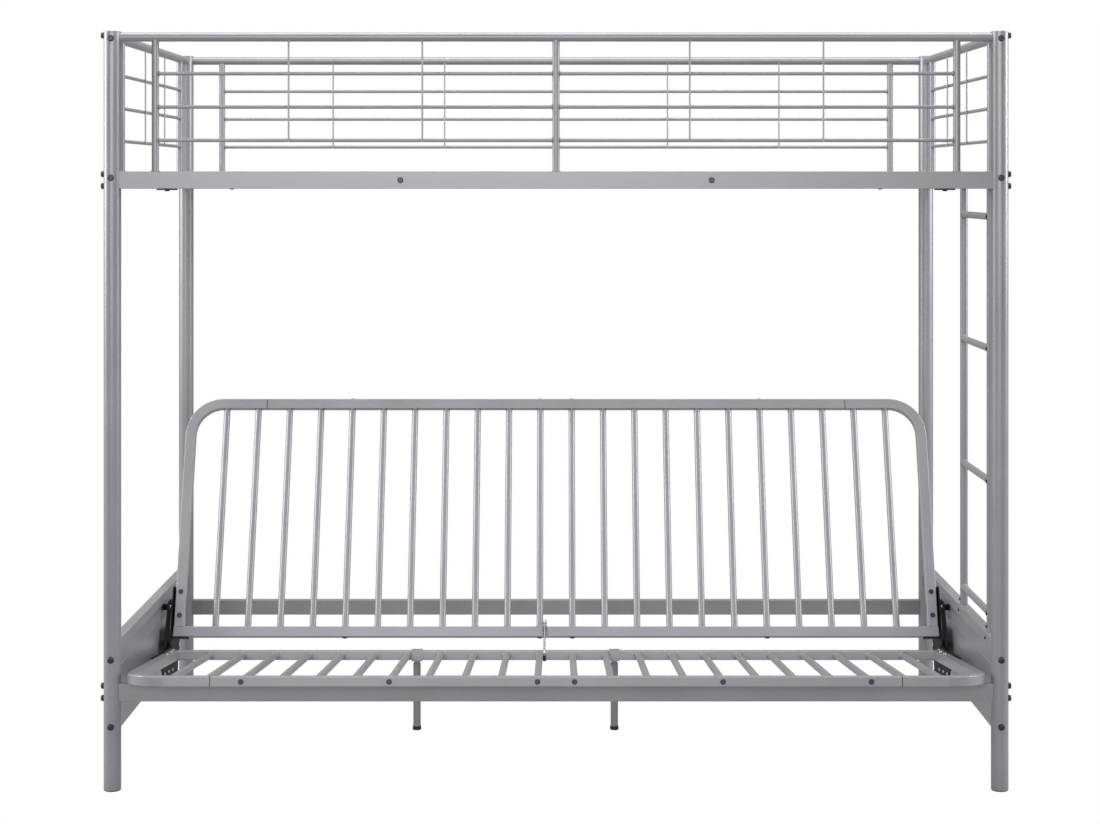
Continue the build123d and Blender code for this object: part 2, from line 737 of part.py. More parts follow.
def frame_holes(frame, mid, places):
    """Drill the arm bolt holes through both side tubes."""
    for side in (-1, 1):
        x = side * (frame_half - tube_wide / 2)
        for along in places:
            plane = Plane(
                origin=frame.from_local_coords((x, along, mid - tube_thick)),
                x_dir=frame.x_dir,
                z_dir=frame.z_dir,
            )
            round_bars(plane, hole_dia, 2 * tube_thick, mode=Mode.SUBTRACT)


def slat_bolt_x(numbers):
    """Places across the bed of the slats whose ends are bolted."""
    return [side * (number + 1 / 2) * slat_pitch for number in numbers for side in (-1, 1)]


def rail_bolt_holes(frame, mid, along, numbers):
    """Drill a straight rail for the bolts into the slats."""
    for x in slat_bolt_x(numbers):
        plane = Plane(
            origin=frame.from_local_coords((x, along - tube_wide, mid)),
            x_dir=frame.x_dir,
            z_dir=frame.y_dir,
        )
        round_bars(plane, hole_dia, 2 * tube_wide, mode=Mode.SUBTRACT)


front_rail_along = seat_front + tube_wide / 2
rear_rail_along = seat_rear - tube_wide / 2
seat_low = seat_rear - tube_wide
seat_arm_bolts = [rear_rail_along - arm_bolt_low, rear_rail_along - arm_bolt_high]
back_arm_bolts = [arm_bolt_low, arm_bolt_high]

with BuildPart() as seat_corners:
    for side in (-1, 1):
        bent_corner(seat_frame, seat_mid, seat_low, front_rail_along, seat_joint_x, side)
    frame_holes(seat_frame, seat_mid, seat_arm_bolts)
save(seat_corners.part, "seat_corners")

with BuildPart() as back_corners:
    for side in (-1, 1):
        bent_corner(back_frame, 0, tube_wide / 2, back_top, back_joint_x, side)
    frame_holes(back_frame, 0, back_arm_bolts)
save(back_corners.part, "back_corners")

with BuildPart() as seat_front_rail:
    frame_rail(seat_frame, seat_mid, front_rail_along, 2 * seat_joint_x)
    rail_bolt_holes(seat_frame, seat_mid, front_rail_along, seat_bolt_slats)
save(seat_front_rail.part, "seat_front_rail")

with BuildPart() as seat_rear_rail:
    frame_rail(seat_frame, seat_mid, rear_rail_along, 2 * frame_half)
save(seat_rear_rail.part, "seat_rear_rail")

with BuildPart() as back_top_rail:
    frame_rail(back_frame, 0, back_top, 2 * back_joint_x)
    rail_bolt_holes(back_frame, 0, back_top, back_bolt_slats)
save(back_top_rail.part, "back_top_rail")

with BuildPart() as back_bottom_rail:
    frame_rail(back_frame, 0, 0, 2 * frame_half)
    rail_bolt_holes(back_frame, 0, 0, back_bolt_slats)
save(back_bottom_rail.part, "back_bottom_rail")

with BuildPart() as seat_slats:
    frame_slats(seat_frame, seat_mid, seat_front + tube_wide, seat_low)
save(seat_slats.part, "seat_slats")

with BuildPart() as back_slats:
    frame_slats(back_frame, 0, tube_wide / 2, back_top - tube_wide / 2)
save(back_slats.part, "back_slats")


def spigots(frame, mid, along, joint_x):
    """Add the bars inside the tube ends that join a corner to its straight rail."""
    inner = (
        tube_wide - 2 * tube_wall - 2 * fit_gap,
        tube_thick - 2 * tube_wall - 2 * fit_gap,
    )
    for side in (-1, 1):
        plane = Plane(
            origin=frame.from_local_coords((side * joint_x, along, mid)),
            x_dir=frame.y_dir,
            z_dir=(1, 0, 0),
        )
        with BuildSketch(plane) as section:
            Rectangle(*inner)
        extrude(section.sketch, amount=spigot_long / 2, both=True)


def slat_plugs(frame, mid, start, turn, numbers):
    """Add the threaded plugs inside the bolted slat ends."""
    plug_dia = slat_dia - 2 * slat_wall - 2 * fit_gap
    for x in slat_bolt_x(numbers):
        plane = Plane(
            origin=frame.from_local_coords((x, start, mid)),
            x_dir=frame.x_dir,
            z_dir=turn * frame.y_dir,
        )
        with BuildSketch(plane) as section:
            Circle(plug_dia / 2)
            Circle(thread_dia / 2, mode=Mode.SUBTRACT)
        extrude(section.sketch, amount=bolt_reach)


with BuildPart() as seat_joiners:
    spigots(seat_frame, seat_mid, front_rail_along, seat_joint_x)
    slat_plugs(seat_frame, seat_mid, seat_front + tube_wide, 1, seat_bolt_slats)
save(seat_joiners.part, "seat_joiners")

with BuildPart() as back_joiners:
    spigots(back_frame, 0, back_top, back_joint_x)
    slat_plugs(back_frame, 0, back_top - tube_wide / 2, -1, back_bolt_slats)
    slat_plugs(back_frame, 0, tube_wide / 2, 1, back_bolt_slats)
save(back_joiners.part, "back_joiners")

slat_bolt = make_bolt(tube_wide + bolt_reach / 2, rail_bolt_head_dia, rail_bolt_head_high, 0)


def slat_bolt_planes(frame, mid, along, turn, numbers):
    """Seats of the bolts that go through a rail into the slats."""
    return [
        Plane(
            origin=frame.from_local_coords((x, along, mid)),
            x_dir=frame.x_dir,
            z_dir=turn * frame.y_dir,
        )
        for x in slat_bolt_x(numbers)
    ]


arm_bolt_long = tube_thick + arm_thick + arm_nut_thick


def arm_bolt_planes(frame, top, places):
    """Seats of the bolts that go down through a side tube and an arm's flange."""
    return [
        Plane(
            origin=frame.from_local_coords((side * (frame_half - tube_wide / 2), along, top)),
            x_dir=frame.x_dir,
            z_dir=frame.z_dir,
        )
        for side in (-1, 1)
        for along in places
    ]


with BuildPart() as arm_bolt:
    add(make_bolt(arm_bolt_long, rail_bolt_head_dia, rail_bolt_head_high, 0))
    with BuildSketch(Plane.XY.offset(-tube_thick - arm_thick)):
        RegularPolygon(arm_nut_flats / sqrt(3), 6)
    extrude(amount=-arm_nut_thick)

with BuildPart() as seat_bolts:
    planes = slat_bolt_planes(seat_frame, seat_mid, seat_front, -1, seat_bolt_slats)
    place_copies(slat_bolt, planes)
save(seat_bolts.part, "seat_bolts")

with BuildPart() as back_bolts:
    top_edge = back_top + tube_wide / 2
    place_copies(slat_bolt, slat_bolt_planes(back_frame, 0, top_edge, 1, back_bolt_slats))
    low_edge = -tube_wide / 2
    place_copies(slat_bolt, slat_bolt_planes(back_frame, 0, low_edge, -1, back_bolt_slats))
    place_copies(arm_bolt.part, arm_bolt_planes(back_frame, tube_thick / 2, back_arm_bolts))
save(back_bolts.part, "back_bolts")

# Hinge arms: webs outside the side tubes, flanges under them
seat_arm_x = frame_half + seat_arm_gap
back_arm_x = seat_arm_x + arm_thick + layer_gap
link_x = back_arm_x + arm_thick + layer_gap
bracket_x = link_x + arm_thick + layer_gap
pin_hole_dia = hinge_pin_dia + 2 * run_gap


def hinge_arm(frame, side, web_x, along, up, far, base, top, bolts):
    """Add an angle arm: a web from the hinge along a side tube, and a bolted flange."""
    turn = 1 if far > along else -1
    near = along + turn * back_hinge_gap
    with BuildSketch(side_plane(frame, side * web_x)) as web:
        with Locations((along, up)):
            Circle(arm_end_radius)
        with BuildLine():
            Polyline(
                (along, up - arm_end_radius),
                (near, base),
                (far, base),
                (far, top - arm_end_radius / 2),
                (far - turn * arm_end_radius / 2, top),
                (near, top),
                (along, up + arm_end_radius),
                close=True,
            )
        make_face()
        with Locations((along, up)):
            Circle(pin_hole_dia / 2, mode=Mode.SUBTRACT)
    extrude(web.sketch, amount=side * arm_thick)
    flange_near = near + turn * arm_end_radius
    flange_mid = (flange_near + far) / 2
    flange_out = web_x + arm_thick
    flange_in = frame_half - arm_flange_wide
    flange_plane = Plane(
        origin=frame.from_local_coords((0, 0, base)), x_dir=frame.x_dir, z_dir=frame.z_dir
    )
    with BuildSketch(flange_plane) as flange:
        with Locations((side * (flange_in + flange_out) / 2, flange_mid)):
            Rectangle(flange_out - flange_in, abs(far - flange_near))
        with Locations(*[(side * (frame_half - tube_wide / 2), place) for place in bolts]):
            Circle(hole_dia / 2, mode=Mode.SUBTRACT)
    extrude(flange.sketch, amount=arm_thick)


seat_far = hinge_along - seat_hinge_gap - tube_wide - seat_arm_long
seat_arm_base = seat_base - arm_thick
lip_x = frame_half - arm_flange_wide
lip_near = hinge_along - seat_hinge_gap - arm_end_radius
lip_foot = seat_arm_base - seat_arm_lip_deep
rivet_up = (seat_arm_base + lip_foot) / 2
with BuildPart() as seat_arms:
    for side in (-1, 1):
        hinge_arm(
            seat_frame,
            side,
            seat_arm_x,
            hinge_along,
            hinge_up,
            seat_far,
            seat_arm_base,
            seat_top + arm_lip,
            seat_arm_bolts,
        )
        lip_plane = side_plane(seat_frame, side * lip_x)
        with BuildSketch(lip_plane):
            with BuildLine():
                Polyline(
                    (lip_near, seat_arm_base + arm_thick / 2),
                    (seat_far, seat_arm_base + arm_thick / 2),
                    (seat_far, seat_arm_base),
                    (seat_far + seat_arm_lip_deep, lip_foot),
                    (lip_near, lip_foot),
                    close=True,
                )
            make_face()
        extrude(amount=side * arm_thick)
save(seat_arms.part, "seat_arms")

with BuildPart() as rivet:
    round_bars(Plane.XY, rivet_dia, rivet_high)
    fillet(rivet.edges().filter_by(GeomType.CIRCLE).sort_by(Axis.Z)[-1], rivet_high / 2)

rivet_planes = [
    Plane(
        origin=seat_frame.from_local_coords((side * lip_x, seat_far + place, rivet_up)),
        x_dir=seat_frame.y_dir,
        z_dir=(-side, 0, 0),
    )
    for side in (-1, 1)
    for place in rivet_places
]
with BuildPart() as seat_arm_fixings:
    place_copies(rivet.part, rivet_planes)
    place_copies(arm_bolt.part, arm_bolt_planes(seat_frame, seat_top, seat_arm_bolts))
save(seat_arm_fixings.part, "seat_arm_fixings")

back_arm_base = -tube_thick / 2 - arm_thick
with BuildPart() as back_arms:
    for side in (-1, 1):
        hinge_arm(
            back_frame,
            side,
            back_arm_x,
            -back_low,
            back_up,
            back_arm_long,
            back_arm_base,
            tube_thick / 2 + arm_lip,
            back_arm_bolts,
        )
        toe_plane = Plane(
            origin=back_frame.from_local_coords((0, -tube_wide / 2 - arm_thick, 0)),
            x_dir=back_frame.x_dir,
            z_dir=back_frame.y_dir,
        )
        toe_in = frame_half - back_arm_toe
        toe_out = back_arm_x + arm_thick
        with BuildSketch(toe_plane):
            with Locations((side * (toe_in + toe_out) / 2, 0)):
                Rectangle(toe_out - toe_in, tube_thick)
        extrude(amount=arm_thick)
save(back_arms.part, "back_arms")

with BuildPart() as hinge_pins:
    for side in (-1, 1):
        head = side_plane(Plane.XY, side * (seat_arm_x - hinge_pin_head))
        round_bars(head, hinge_pin_head_dia, side * hinge_pin_head, ((hinge.Y, hinge.Z),))
        body_x = seat_arm_x
        body = side_plane(Plane.XY, side * body_x)
        reach = link_x + arm_thick - body_x
        round_bars(body, hinge_pin_dia, side * reach, ((hinge.Y, hinge.Z),))
save(hinge_pins.part, "hinge_pins")

# Links: their fixed pivot is as far from the hinge in the sofa as in the bed position
flat_y = rock_y + hinge_along
flat_z = rock_z + hinge_up
rise_y = flat_y - hinge.Y
rise_z = flat_z - hinge.Z
half_rise = hypot(rise_y, rise_z) / 2
stand_off = sqrt(link_length**2 - half_rise**2)
pivot_y = (flat_y + hinge.Y) / 2 + stand_off * rise_z / (2 * half_rise)
pivot_z = (flat_z + hinge.Z) / 2 - stand_off * rise_y / (2 * half_rise)
link_swing = 2 * degrees(asin(half_rise / link_length))
link_eye = hinge_pin_dia / 2 + link_play
link_angle = degrees(asin((pivot_z - hinge.Z) / link_length))
for side, word in ((-1, "left"), (1, "right")):
    with BuildPart() as link:
        with BuildSketch(side_plane(Plane.XY, side * link_x)):
            with Locations(((pivot_y + hinge.Y) / 2, (pivot_z + hinge.Z) / 2)):
                Rectangle(link_length, link_wide, rotation=link_angle)
            with Locations((pivot_y, pivot_z)):
                Circle(link_wide / 2)
            with Locations((hinge.Y, hinge.Z)):
                Circle(link_eye + link_eye_wall)
            with Locations((pivot_y, pivot_z)):
                Circle(link_pin_dia / 2 + run_gap, mode=Mode.SUBTRACT)
            with Locations((hinge.Y, hinge.Z)):
                Circle(link_eye, mode=Mode.SUBTRACT)
        extrude(amount=side * arm_thick)
    save(link.part, f"{word}_link")

with BuildPart() as link_pins:
    for side in (-1, 1):
        head = side_plane(Plane.XY, side * (link_x - fit_gap - link_pin_head))
        pivot_place = ((pivot_y, pivot_z),)
        round_bars(head, link_pin_head_dia, side * link_pin_head, pivot_place)
        body = side_plane(Plane.XY, side * (link_x - fit_gap))
        reach = bracket_x + arm_thick - link_x + fit_gap
        round_bars(body, link_pin_dia, side * reach, pivot_place)
save(link_pins.part, "link_pins")

# Fixed brackets: bolted through bosses to the side panels
tail_y = pivot_y + bracket_tail
upright_top_z = sheet_top - bracket_upright_drop
bracket_top_z = pivot_z + bracket_top_lift
front_edge_y = hinge.Y - bracket_front
lean_y = front_edge_y + bracket_upright_lean
upright_slope = bracket_upright_lean / (upright_top_z - bracket_low_z)
neck_y = lean_y + bracket_upright_wide - (upright_top_z - bracket_top_z) * upright_slope
bolt_lean = bracket_bolt_inset * upright_slope
low_bolt_z = bracket_low_z + bracket_bolt_inset
bracket_places = [
    (front_edge_y + bracket_bolt_inset + bolt_lean, low_bolt_z),
    (tail_y - bracket_bolt_inset, low_bolt_z),
    (lean_y + bracket_upright_wide / 2 - bolt_lean, upright_top_z - bracket_bolt_inset),
]
boss_long = web_in - fit_gap - bracket_x - arm_thick
with BuildPart() as base_brackets:
    for side in (-1, 1):
        with BuildSketch(side_plane(Plane.XY, side * bracket_x)):
            with BuildLine():
                Polyline(
                    (front_edge_y, bracket_low_z),
                    (tail_y, bracket_low_z),
                    (tail_y, bracket_top_z),
                    (neck_y, bracket_top_z),
                    (lean_y + bracket_upright_wide, upright_top_z),
                    (lean_y, upright_top_z),
                    close=True,
                )
            make_face()
            fillet(vertices(), arm_end_radius / 2)
            with Locations((pivot_y, pivot_z)):
                Circle(link_pin_dia / 2 + fit_gap, mode=Mode.SUBTRACT)
        extrude(amount=side * arm_thick)
        boss_plane = side_plane(Plane.XY, side * (bracket_x + arm_thick))
        round_bars(boss_plane, bracket_boss_dia, side * boss_long, bracket_places)
        hole_plane = side_plane(Plane.XY, side * (bracket_x - overrun))
        hole_long = side * (boss_long + arm_thick + 2 * overrun)
        round_bars(hole_plane, hole_dia, hole_long, bracket_places, Mode.SUBTRACT)
save(base_brackets.part, "base_brackets")

bracket_bolt_long = boss_long + arm_thick
with BuildPart() as bracket_bolts:
    for side in (-1, 1):
        head = side_plane(Plane.XY, side * (bracket_x - bracket_bolt_head))
        round_bars(head, bracket_bolt_head_dia, side * bracket_bolt_head, bracket_places)
        body = side_plane(Plane.XY, side * bracket_x)
        round_bars(body, bolt_dia, side * bracket_bolt_long, bracket_places)
save(bracket_bolts.part, "bracket_bolts")

# Legs under the seat's rear rail
saddle_half = tube_wide / 2 + saddle_thick
under_rail = seat_frame.from_local_coords((0, rear_rail_along, seat_base - saddle_thick))
leg_top = under_rail.Z - saddle_stub
with BuildPart() as leg_brackets:
    for x in leg_places:
        with BuildSketch(side_plane(seat_frame, x)):
            with Locations((rear_rail_along, seat_mid)):
                Rectangle(2 * saddle_half, tube_thick + 2 * saddle_thick)
                Rectangle(
                    tube_wide + 2 * fit_gap, tube_thick + 2 * fit_gap, mode=Mode.SUBTRACT
                )
        extrude(amount=saddle_wide / 2, both=True)
    stub_dia = leg_dia - 2 * leg_wall - 2 * fit_gap
    stub_places = [(x, under_rail.Y) for x in leg_places]
    stub_plane = Plane.XY.offset(leg_top - saddle_stub)
    round_bars(stub_plane, stub_dia, under_rail.Z - leg_top + saddle_stub, stub_places)
save(leg_brackets.part, "seat_leg_brackets")

with BuildPart() as legs:
    leg_foot_z = leg_lift + leg_foot_wall
    leg_long = leg_top - leg_foot_z
    round_tubes(Plane.XY.offset(leg_foot_z), leg_dia, leg_wall, leg_long, stub_places)
save(legs.part, "seat_legs")

with BuildPart() as leg_feet:
    foot_dia = leg_dia + 2 * leg_foot_wall + 2 * fit_gap
    round_bars(Plane.XY.offset(leg_lift), foot_dia, leg_foot_high, stub_places)
    bore_dia = leg_dia + 2 * fit_gap
    bore_plane = Plane.XY.offset(leg_foot_z)
    round_bars(bore_plane, bore_dia, leg_foot_high, stub_places, Mode.SUBTRACT)
    rims = leg_feet.edges().filter_by(GeomType.CIRCLE).group_by(Axis.Z)[0]
    fillet(rims, leg_foot_wall)
save(leg_feet.part, "seat_leg_feet")

# Safety hook: an ear on the backrest's lower rail, and a wire that drops over the seat rail
eye_along = tube_wide / 2 + hook_eye_lift
eye_up = tube_thick / 2 + hook_eye_proud
eye = back_frame.from_local_coords((hook_x, eye_along, eye_up))
corner = seat_frame.from_local_coords((hook_x, seat_low, seat_top))
ear_reach = eye_up + hook_ear_wide / 2
eye_dia = hook_pin_dia + 2 * hook_eye_wall
with BuildPart() as hook_ears:
    for side in (-1, 1):
        ear_x = hook_x + side * (hook_eye_thick / 2 + fit_gap)
        with BuildSketch(side_plane(back_frame, ear_x)):
            with BuildLine():
                Polyline(
                    (-tube_wide / 4, tube_thick / 2),
                    (tube_wide / 2, tube_thick / 2),
                    (eye_along + hook_ear_wide / 2, eye_up - hook_ear_wide / 2),
                    (eye_along, eye_up + hook_ear_wide / 2),
                    (eye_along - hook_ear_wide / 2, eye_up + hook_ear_wide / 4),
                    close=True,
                )
            make_face()
        extrude(amount=side * hook_ear_thick)
    face_plane = back_frame.offset(tube_thick / 2)
    with BuildSketch(face_plane):
        with BuildLine():
            Polyline(
                (hook_x - hook_foot_half, -tube_wide / 2),
                (hook_x - hook_ear_thick, tube_wide / 2),
                (hook_x + hook_ear_thick, tube_wide / 2),
                (hook_x + hook_foot_half, -tube_wide / 2),
                (hook_x + hook_foot_half - hook_ear_wide / 2, -tube_wide / 2),
                (hook_x, tube_wide / 4),
                (hook_x - hook_foot_half + hook_ear_wide / 2, -tube_wide / 2),
                close=True,
            )
        make_face()
    extrude(amount=hook_ear_thick)
    pin_plane = side_plane(back_frame, hook_x)
    pin_long = hook_eye_thick / 2 + fit_gap + hook_ear_thick
    with BuildSketch(pin_plane):
        with Locations((eye_along, eye_up)):
            Circle(hook_pin_dia / 2)
    extrude(amount=pin_long, both=True)
save(hook_ears.part, "hook_ears")

reach_y = eye.Y - corner.Y
reach_z = eye.Z - corner.Z
corner_far = hypot(reach_y, reach_z)
wire_clear = hook_dia / 2 + hook_rest
slope = asin(reach_z / corner_far) - asin(wire_clear / corner_far)
bend_y = corner.Y - hook_past
bend_z = eye.Z - (eye.Y - bend_y) * sin(slope) / cos(slope)
hook_plane = side_plane(Plane.XY, hook_x)
root_far = eye_dia / 2 - hook_eye_wall / 2
wire_start = (eye.Y - root_far * cos(slope), eye.Z - root_far * sin(slope))
with BuildPart() as hook:
    with BuildLine(hook_plane) as wire:
        FilletPolyline(
            wire_start,
            (bend_y, bend_z),
            (bend_y, bend_z - hook_drop),
            radius=hook_bend,
        )
    wire_dir = (0, -cos(slope), -sin(slope))
    section_plane = Plane(
        origin=hook_plane.from_local_coords((*wire_start, 0)), x_dir=(1, 0, 0), z_dir=wire_dir
    )
    with BuildSketch(section_plane) as section:
        Circle(hook_dia / 2)
    sweep(sections=section.sketch, path=wire.wire())
    with BuildSketch(hook_plane):
        with Locations((eye.Y, eye.Z)):
            Circle(eye_dia / 2)
    extrude(amount=hook_eye_thick / 2, both=True)
    with BuildSketch(hook_plane):
        with Locations((eye.Y, eye.Z)):
            Circle(hook_pin_dia / 2 + run_gap)
    extrude(amount=hook_eye_thick, both=True, mode=Mode.SUBTRACT)
save(hook.part, "safety_hook")

tip_low = bend_z - hook_drop
with BuildPart() as hook_tip:
    tip_dia = hook_dia + 2 * hook_tip_wall
    tip_place = ((hook_x, bend_y),)
    round_bars(Plane.XY.offset(tip_low - hook_tip_wall), tip_dia, hook_tip_long, tip_place)
    bore_dia = hook_dia + 2 * fit_gap
    round_bars(Plane.XY.offset(tip_low), bore_dia, hook_tip_long, tip_place, Mode.SUBTRACT)
    rims = hook_tip.edges().filter_by(GeomType.CIRCLE).group_by(Axis.Z)[0]
    fillet(rims, hook_tip_wall)
save(hook_tip.part, "hook_tip")

fold = 90 - back_tilt + seat_tilt
print(f"front post y {front_y:.2f}, rock axis y {rock_y:.2f} z {rock_z:.2f}")
print(f"hinge y {hinge.Y:.3f} z {hinge.Z:.3f}, fold {fold:.2f} deg")
print(f"link pivot y {pivot_y:.3f} z {pivot_z:.3f}, swing {link_swing:.3f} deg")
print(f"hook eye y {eye.Y:.3f} z {eye.Z:.3f}")
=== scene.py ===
import json
import math

import bmesh
import bpy
from mathutils import Matrix, Vector


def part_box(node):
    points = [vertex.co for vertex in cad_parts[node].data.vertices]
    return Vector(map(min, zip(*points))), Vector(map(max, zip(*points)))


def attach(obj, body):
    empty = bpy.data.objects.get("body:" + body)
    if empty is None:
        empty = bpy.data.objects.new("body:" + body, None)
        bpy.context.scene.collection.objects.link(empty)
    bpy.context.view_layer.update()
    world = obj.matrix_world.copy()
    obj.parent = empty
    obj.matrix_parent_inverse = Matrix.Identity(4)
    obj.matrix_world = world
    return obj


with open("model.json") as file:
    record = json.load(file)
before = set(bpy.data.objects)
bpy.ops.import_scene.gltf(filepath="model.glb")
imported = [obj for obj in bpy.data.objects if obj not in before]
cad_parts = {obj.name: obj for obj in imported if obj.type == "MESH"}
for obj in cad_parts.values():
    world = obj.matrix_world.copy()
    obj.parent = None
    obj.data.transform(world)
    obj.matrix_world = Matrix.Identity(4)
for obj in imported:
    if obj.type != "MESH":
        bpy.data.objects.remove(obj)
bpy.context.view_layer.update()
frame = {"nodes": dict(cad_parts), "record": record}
nodes = frame["nodes"]
print("frame loaded:", len(nodes), "nodes")


def hexColour(text):  # sRGB hex to the linear colour that shaders use
    parts = [int(text[i : i + 2], 16) / 255 for i in (1, 3, 5)]
    linear = [c / 12.92 if c <= 0.04045 else ((c + 0.055) / 1.055) ** 2.4 for c in parts]
    return (*linear, 1.0)


def addNode(tree, kind, settings=None, values=None, links=None):
    node = tree.nodes.new(kind)
    for name, value in (settings or {}).items():
        setattr(node, name, value)
    for name, value in (values or {}).items():
        node.inputs[name].default_value = value
    for name, source in (links or {}).items():
        tree.links.new(source, node.inputs[name])
    return node


def startMaterial(name):
    material = bpy.data.materials.new(name)
    material.use_nodes = True
    tree = material.node_tree
    tree.nodes.clear()
    place = addNode(tree, "ShaderNodeTexCoord").outputs["Object"]
    return material, tree, place


def closeMaterial(tree, shader):
    addNode(tree, "ShaderNodeOutputMaterial", links={"Surface": shader})


# Silver powder coat is polyester powder with fine aluminium flake, sprayed and baked.
# It gives a soft, slightly metallic sheen with a faint orange peel.
silverCoat = {
    "light": "#A09FA4",
    "dark": "#8B8A8F",
    "metallic": 0.35,
    "roughness": 0.38,
    "smoother": 0.05,  # where the spray is thin
    "rougher": 0.06,
    "sparkle": 0.12,
    "peelHeight": 0.0006,
    "peelStrength": 0.06,
    "coat": 0.12,
    "coatRoughness": 0.25,
    "peelMm": 3.0,  # real peel is about 1 mm: coarser, so that it shows
    "flakeMm": 1.6,  # real flake is under 0.1 mm
    "cloudMm": 160.0,  # slow drift of the spray's thickness
}


def makeSilverCoat():
    s = silverCoat
    material, tree, place = startMaterial("silver polyester powder coat")
    cloud = addNode(
        tree,
        "ShaderNodeTexNoise",
        values={"Scale": 1000 / s["cloudMm"], "Detail": 3.0, "Roughness": 0.5},
        links={"Vector": place},
    )
    flake = addNode(
        tree,
        "ShaderNodeTexVoronoi",
        values={"Scale": 1000 / s["flakeMm"]},
        links={"Vector": place},
    )
    sparkle = addNode(
        tree,
        "ShaderNodeMapRange",
        values={"To Min": -s["sparkle"], "To Max": s["sparkle"]},
        links={"Value": flake.outputs["Color"]},
    )
    blend = addNode(
        tree,
        "ShaderNodeMath",
        {"operation": "ADD", "use_clamp": True},
        links={0: cloud.outputs["Fac"], 1: sparkle.outputs["Result"]},
    )
    colour = addNode(
        tree,
        "ShaderNodeMix",
        {"data_type": "RGBA"},
        values={6: hexColour(s["dark"]), 7: hexColour(s["light"])},
        links={0: blend.outputs["Value"]},
    )
    gloss = addNode(
        tree,
        "ShaderNodeMapRange",
        values={
            "To Min": s["roughness"] - s["smoother"],
            "To Max": s["roughness"] + s["rougher"],
        },
        links={"Value": cloud.outputs["Fac"]},
    )
    peel = addNode(
        tree,
        "ShaderNodeTexNoise",
        values={"Scale": 1000 / s["peelMm"], "Detail": 2.0},
        links={"Vector": place},
    )
    bump = addNode(
        tree,
        "ShaderNodeBump",
        values={"Strength": s["peelStrength"], "Distance": s["peelHeight"]},
        links={"Height": peel.outputs["Fac"]},
    )
    shader = addNode(
        tree,
        "ShaderNodeBsdfPrincipled",
        values={
            "Metallic": s["metallic"],
            "Coat Weight": s["coat"],
            "Coat Roughness": s["coatRoughness"],
        },
        links={
            "Base Color": colour.outputs[2],
            "Roughness": gloss.outputs["Result"],
            "Normal": bump.outputs["Normal"],
        },
    )
    closeMaterial(tree, shader.outputs["BSDF"])
    return material


# Black paint on pressed steel is satin, thinner and duller than the powder coat, and
# reads as nearly pure black, a little greyer in patches.
blackPaint = {
    "light": "#0E0E10",
    "dark": "#060607",
    "roughness": 0.6,
    "specular": 0.2,
    "grainMm": 2.5,
    "grainHeight": 0.0004,
    "grainStrength": 0.15,
    "patchMm": 45.0,
}


def makeBlackPaint():
    s = blackPaint
    material, tree, place = startMaterial("black satin paint on pressed steel")
    patch = addNode(
        tree,
        "ShaderNodeTexNoise",
        values={"Scale": 1000 / s["patchMm"], "Detail": 4.0, "Roughness": 0.6},
        links={"Vector": place},
    )
    colour = addNode(
        tree,
        "ShaderNodeMix",
        {"data_type": "RGBA"},
        values={6: hexColour(s["dark"]), 7: hexColour(s["light"])},
        links={0: patch.outputs["Fac"]},
    )
    grain = addNode(
        tree,
        "ShaderNodeTexNoise",
        values={"Scale": 1000 / s["grainMm"], "Detail": 2.0},
        links={"Vector": place},
    )
    bump = addNode(
        tree,
        "ShaderNodeBump",
        values={"Strength": s["grainStrength"], "Distance": s["grainHeight"]},
        links={"Height": grain.outputs["Fac"]},
    )
    shader = addNode(
        tree,
        "ShaderNodeBsdfPrincipled",
        values={"Roughness": s["roughness"], "Specular IOR Level": s["specular"]},
        links={"Base Color": colour.outputs[2], "Normal": bump.outputs["Normal"]},
    )
    closeMaterial(tree, shader.outputs["BSDF"])
    return material


# Black oxide on steel bolts is a nearly black metal with an oily sheen, and bright zinc
# plate is bluish, with the soft streaks of barrel plating.
boltFinish = {
    "oxideLight": "#565A63",
    "oxideDark": "#26272B",
    "oxideRoughness": 0.34,
    "zincLight": "#C9CCD2",
    "zincDark": "#9A9DA6",
    "zincRoughness": 0.26,
    "smoother": 0.06,
    "rougher": 0.1,
    "streakMm": 4.0,
}


def makePlated(name, dark, light, roughness):
    s = boltFinish
    material, tree, place = startMaterial(name)
    streak = addNode(
        tree,
        "ShaderNodeTexNoise",
        values={"Scale": 1000 / s["streakMm"], "Detail": 3.0, "Distortion": 0.6},
        links={"Vector": place},
    )
    colour = addNode(
        tree,
        "ShaderNodeMix",
        {"data_type": "RGBA"},
        values={6: hexColour(dark), 7: hexColour(light)},
        links={0: streak.outputs["Fac"]},
    )
    gloss = addNode(
        tree,
        "ShaderNodeMapRange",
        values={"To Min": roughness - s["smoother"], "To Max": roughness + s["rougher"]},
        links={"Value": streak.outputs["Fac"]},
    )
    shader = addNode(
        tree,
        "ShaderNodeBsdfPrincipled",
        values={"Metallic": 1.0},
        links={"Base Color": colour.outputs[2], "Roughness": gloss.outputs["Result"]},
    )
    closeMaterial(tree, shader.outputs["BSDF"])
    return material


# Moulded polyethylene caps and feet are dull and waxy, with a fine moulded grain.
capPlastic = {
    "grey": "#7E7E82",
    "greyDark": "#6C6C70",
    "greyRoughness": 0.45,
    "black": "#1C1C1E",
    "blackDark": "#111113",
    "blackRoughness": 0.5,
    "mottleMm": 18.0,
    "grainMm": 0.9,
    "grainHeight": 0.0002,
    "grainStrength": 0.2,
    "ior": 1.5,
}


